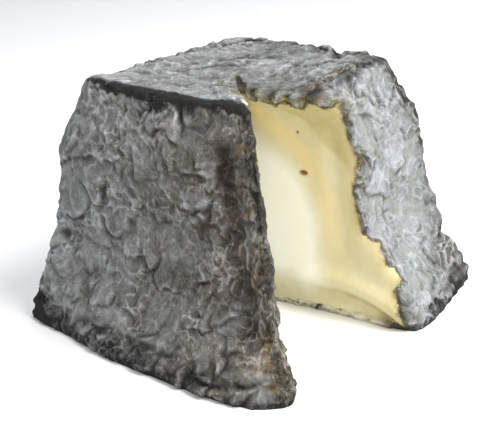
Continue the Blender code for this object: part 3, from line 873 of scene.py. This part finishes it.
def mixed(tree, share, a, b, blend="MIX"):
    """Colours a and b (sockets or linear values), mixed by share."""
    node = add_node(tree, "ShaderNodeMix", {"Factor": share}, data_type="RGBA", blend_type=blend)
    for index, value in ((6, a), (7, b)):
        if isinstance(value, bpy.types.NodeSocket):
            tree.links.new(value, node.inputs[index])
        else:
            node.inputs[index].default_value = (*value, 1.0)
    return node.outputs[2]


def ramp(tree, value, stops):
    """The colour at a value between stops of (position, linear colour)."""
    node = add_node(tree, "ShaderNodeValToRGB", {"Fac": value})
    elements = node.color_ramp.elements
    while len(elements) < len(stops):
        elements.new(0.5)
    for element, (position, colour) in zip(elements, stops):
        element.position = position
        element.color = (*colour, 1.0)
    return node.outputs["Color"]


def new_material(name):
    material = bpy.data.materials.new(name)
    material.use_nodes = True
    tree = material.node_tree
    return material, tree, tree.nodes["Principled BSDF"]


def total(tree, start, terms):
    """start plus each (socket, weight, value that adds nothing)."""
    result = start
    for socket, weight, neutral in terms:
        inputs = {0: socket, 1: weight, 2: add_to(tree, result, -weight * neutral)}
        result = add_node(tree, "ShaderNodeMath", inputs, operation="MULTIPLY_ADD").outputs[0]
    return result


def add_to(tree, value, extra):
    """A number more than value, which is a number too or a socket."""
    if isinstance(value, float):
        return value + extra
    return math_node(tree, "ADD", value, extra) if extra else value


def spots(tree, name, size, low, high, strength=1.0):
    """A kept number, broken up into spots about size across."""
    torn = mapped(tree, speckle(tree, size, 3.0, 0.6), low, high, 0.0, strength)
    return times(tree, number(tree, name), torn)


def stained(tree, colour, middling):
    """The mould's colour with its warm tint, the mossy hem, cracks, the foot's crust, stains, and painted
    brown shade in the creases of the browner mould.
    """
    colour = mixed(tree, spots(tree, "warm", 5.0, 0.38, 0.60), colour, WARM_TINT, "MULTIPLY")
    colour = mixed(tree, spots(tree, "moss", 1.5, 0.44, 0.56, 0.75), colour, MOSS)
    colour = mixed(tree, spots(tree, "moss", 1.1, 0.52, 0.62, 0.85), colour, HEM_AND_RIM_SHADE)
    cracked = total(tree, 0.0, [(number(tree, "mottle"), 1.0, 0.0), (middling, 1.5, 0.5)])
    cracks = ramp(tree, speckle(tree, 1.1, 4.0, 0.65, 1.0, 2.5), MOTTLE)
    colour = mixed(tree, mapped(tree, cracked, 0.2, 0.7, 0, 0.9), colour, cracks)
    crust = ramp(tree, speckle(tree, 2.2, 3.0, 0.6), CRUST_LOOKS)
    colour = mixed(tree, number(tree, "crust"), colour, crust)
    colour = mixed(tree, spots(tree, "stain", 1.4, 0.42, 0.58, 0.65), colour, STAIN)
    # Painted shade, dark brown, in the creases and folds where the mould is browner.
    brown_crease_shade = times(tree, number(tree, "warm"), spots(tree, "crease_shade", 1.2, 0.40, 0.62, 0.7))
    return mixed(tree, brown_crease_shade, colour, BROWN_CREASE_SHADE)


def rind_looks(tree):
    """(colour, height of the fuzz): grey mould, with painted light on crests and painted shade in hollows,
    rubbed off to ash.
    """
    broad = speckle(tree, 7.0, 3.0, 0.6, 0.5)
    middling = speckle(tree, 2.0, 3.0, 0.6, 1.0)
    fine = speckle(tree, 0.5, 3.0, 0.65)
    thread = times(tree, threads(tree, 4.5, 9.0, 0.17), mapped(tree, speckle(tree, 5.0), 0.38, 0.54))
    pale = total(tree, 0.0, [(number(tree, "pale"), 1.0, 0.0), (speckle(tree, 6.0), 0.5, 0.5)])
    pale = mapped(tree, pale, 0, 1)
    # The tone holds painted light on crests and painted shade in hollows (swell), and painted shade in
    # creases.
    tone = total(tree, 0.46, [
        (number(tree, "swell"), 0.8, 0.0),
        (broad, 0.9, 0.5),
        (middling, 0.5, 0.5),
        (fine, 0.8, 0.5),
        (times(tree, thread, mapped(tree, pale, 0.2, 0.9, 0.30, 0.12)), 1.0, 0.0),
        (times(tree, number(tree, "ridge"), mapped(tree, pale, 0.2, 0.9, 0.32, 0.10)), 1.0, 0.0),
        (number(tree, "crease_shade"), -0.42, 0.0),
    ])
    colour = mixed(tree, pale, ramp(tree, tone, DARK_MOULD), ramp(tree, tone, PALE_MOULD))
    musty = times(tree, pale, mapped(tree, speckle(tree, 4.5, 3.0, 0.6), 0.50, 0.60, 0.0, 0.7))
    colour = stained(tree, mixed(tree, musty, colour, MUSTY), middling)
    # Bare ash where the mould is rubbed off, and painted shade: more black where the tone is darkened in
    # hollows and creases.
    ash_and_shade = total(tree, 0.0, [
        (number(tree, "ash"), 1.0, 0.0),
        (fine, 1.7, 0.5),
        (middling, 1.5, 0.5),
        (tone, -0.65, 0.45),
    ])
    colour = mixed(tree, mapped(tree, ash_and_shade, 0.22, 1.12, 0.0, 0.97), colour, ASH_AND_SHADE)
    fuzz = total(tree, 0.0, [(fine, 0.9, 0.0), (speckle(tree, 0.22), 0.35, 0.0), (thread, 0.9, 0.0)])
    return colour, fuzz


def paste_colour(tree):
    """An ivory core, yellower and clearer towards the rind."""
    wavy = total(tree, 0.0, [(number(tree, "below"), 1.0, 0.0), (speckle(tree, 9.0), 8.0, 0.5)])
    colour = ramp(tree, mapped(tree, wavy, 0.0, PASTE_DEEP), PASTE_STOPS)
    colour = mixed(tree, mapped(tree, speckle(tree, 2.2, 3.0), 0.35, 0.7, 0.0, 0.10), colour, PASTE_FLECK)
    amber = times(tree, number(tree, "amber"), mapped(tree, speckle(tree, 7.0), 0.3, 0.6, 0.35, 0.55))
    colour = mixed(tree, amber, colour, AMBER)
    return mixed(tree, mapped(tree, number(tree, "hole"), 0.15, 0.75), colour, HOLE)


def torn_line_and_rim_shade(tree, inside):
    """The dark line where the rind is torn, partly painted shade where the proud rind meets the paste, in
    stretches, but not on the crust.
    """
    away = math_node(tree, "ABSOLUTE", math_node(tree, "ADD", inside, 0.15), 0.0)
    stretches = mapped(tree, speckle(tree, 1.8), 0.32, 0.54, 0.0, 0.85)
    stretches = math_node(tree, "SUBTRACT", stretches, number(tree, "crust"), True)
    return times(tree, mapped(tree, away, 0.85, 0.15), stretches)


def cheese_material():
    """Matt rind, and satin paste where the knife bared it, with a torn dark line between them that is partly
    painted shade.
    """
    material, tree, shader = new_material("rind and paste")
    inside = total(tree, 0.0, [(number(tree, "inside"), 1.0, 0.0), (speckle(tree, 0.9, 4.0, 0.6), 2.2, 0.5)])
    bared = mapped(tree, inside, -0.12, 0.12)
    rind, fuzz = rind_looks(tree)
    colour = mixed(tree, bared, rind, paste_colour(tree))
    colour = mixed(tree, torn_line_and_rim_shade(tree, inside), colour, HEM_AND_RIM_SHADE)
    relief = times(tree, fuzz, mapped(tree, bared, 0, 1, 1.0, BUMPS_ON_PASTE))
    bumps = {"Strength": BUMPS, "Distance": BUMPS_HEIGHT * MM, "Height": relief}
    links = {
        "Base Color": colour,
        "Roughness": mapped(tree, bared, 0, 1, RIND_ROUGH, PASTE_ROUGH),
        "Subsurface Weight": mapped(tree, bared, 0, 1, 0.0, GLOW),
        "Normal": add_node(tree, "ShaderNodeBump", bumps).outputs["Normal"],
    }
    for name, socket in links.items():
        tree.links.new(socket, shader.inputs[name])
    shader.inputs["Subsurface Radius"].default_value = GLOW_RADIUS
    shader.inputs["Subsurface Scale"].default_value = GLOW_DEPTH * MM
    shader.inputs["Specular IOR Level"].default_value = SHINE
    return material


def floor_material():
    material, _, shader = new_material("floor")
    shader.inputs["Base Color"].default_value = (*FLOOR_COLOUR, 1)
    shader.inputs["Roughness"].default_value = FLOOR_ROUGH
    return material


def clothe(cheese):
    cheese.data.materials.clear()
    cheese.data.materials.append(cheese_material())
    cheese.data.shade_smooth()


# ---------------------------------------------------------------- the set


def area_light(name, position, size, watts, colour):
    light = bpy.data.lights.new(name, "AREA")
    light.shape = "DISK"
    light.size = size
    light.energy = watts
    light.color = colour
    obj = bpy.data.objects.new(name, light)
    bpy.context.scene.collection.objects.link(obj)
    obj.location = position
    obj.rotation_euler = (Vector(LIGHT_TARGET) - Vector(position)).to_track_quat("-Z", "Y").to_euler()


def studio():
    bpy.ops.mesh.primitive_plane_add(size=FLOOR_SIZE)
    floor = bpy.context.object
    floor.name = "floor"
    floor.data.materials.append(floor_material())
    world = bpy.data.worlds.new("studio")
    bpy.context.scene.world = world
    world.use_nodes = True
    background = world.node_tree.nodes["Background"]
    background.inputs["Color"].default_value = (*WORLD_COLOUR, 1)
    background.inputs["Strength"].default_value = WORLD_STRENGTH
    for light in LIGHTS:
        area_light(*light)
    bpy.context.scene.view_settings.view_transform = "Standard"


def place_camera(shift):
    """The camera in the fitted view, moved with the cheese by shift millimetres."""
    back = Vector((
        math.sin(CAMERA_AZIMUTH) * math.cos(CAMERA_ELEVATION),
        -math.cos(CAMERA_AZIMUTH) * math.cos(CAMERA_ELEVATION),
        math.sin(CAMERA_ELEVATION),
    ))
    level = Vector((math.cos(CAMERA_AZIMUTH), math.sin(CAMERA_AZIMUTH), 0))
    raised = back.cross(level)
    right = math.cos(CAMERA_ROLL) * level + math.sin(CAMERA_ROLL) * raised
    up = back.cross(right)
    data = bpy.data.cameras.new("camera")
    data.sensor_width = SENSOR
    data.lens = FOCAL_PIXELS * SENSOR / PHOTO_WIDTH
    data.clip_start = 0.01
    camera = bpy.data.objects.new("camera", data)
    bpy.context.scene.collection.objects.link(camera)
    turn = Matrix((right, up, back)).transposed().to_4x4()
    camera.matrix_world = Matrix.Translation((CAMERA_AT + shift) * MM) @ turn
    bpy.context.scene.camera = camera


def set_down(cheese):
    """Centres the cheese where the solid is, in metres. Returns the shift in millimetres."""
    low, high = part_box(NODE)
    middle = (low + high) / 2 / MM
    points = points_of(cheese.data)
    shift = Vector((middle.x, middle.y, 0)) - Vector((*(points.min(0) + points.max(0))[:2] / 2, 0))
    move_points(cheese.data, (points + np.array(shift)) * MM)
    return shift


def main():
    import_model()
    cheese = thinned(dressed(cheese_form()))
    shift = set_down(cheese)
    clothe(cheese)
    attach(cheese, "root")
    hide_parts(NODE)
    studio()
    place_camera(shift)


main()
